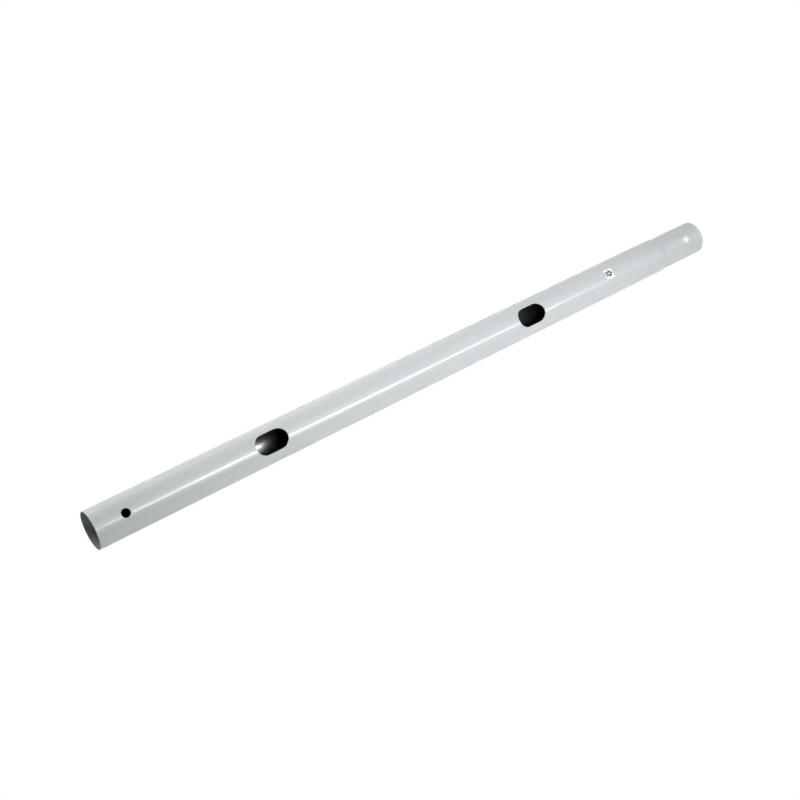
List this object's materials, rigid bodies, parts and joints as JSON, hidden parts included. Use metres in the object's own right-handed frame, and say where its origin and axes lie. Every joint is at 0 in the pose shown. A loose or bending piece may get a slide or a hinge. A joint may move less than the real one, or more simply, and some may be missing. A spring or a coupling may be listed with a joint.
{
  "type": "tubular spreader beam",
  "caption": "Round steel tube beam with a plain socket end, a swaged spigot with a spring button at the other end, and long slots in one wall for legs.",
  "frame": {"origin": "centre of the socket's mouth, on the tube's axis, in the plane of the socket's rim", "axes": "+X along the tube from the socket to the spigot; +Z out of the wall that has the slots, the button holes and the button"},
  "size_m": [1.212, 0.06, 0.0632],
  "materials": {
    "powder_coated_steel": "satin light grey powder coat",
    "white_nylon": "smooth white moulded nylon",
    "spring_steel": "oiled spring steel",
    "label_vinyl": "matte white vinyl"
  },
  "bodies": {
    "tube": {"beam_tube": "powder_coated_steel", "button_spring": "spring_steel", "identification_label": "label_vinyl"},
    "button": {"snap_button": "white_nylon"}
  },
  "joints": [
    {"name": "button_press", "type": "slide", "parent": "tube", "child": "button", "axis": [0, 0, -1], "range_m": [0, 0.0055], "stiffness_N_per_m": 1500, "springref_m": -0.003, "deforming": ["button_spring"]}
  ]
}
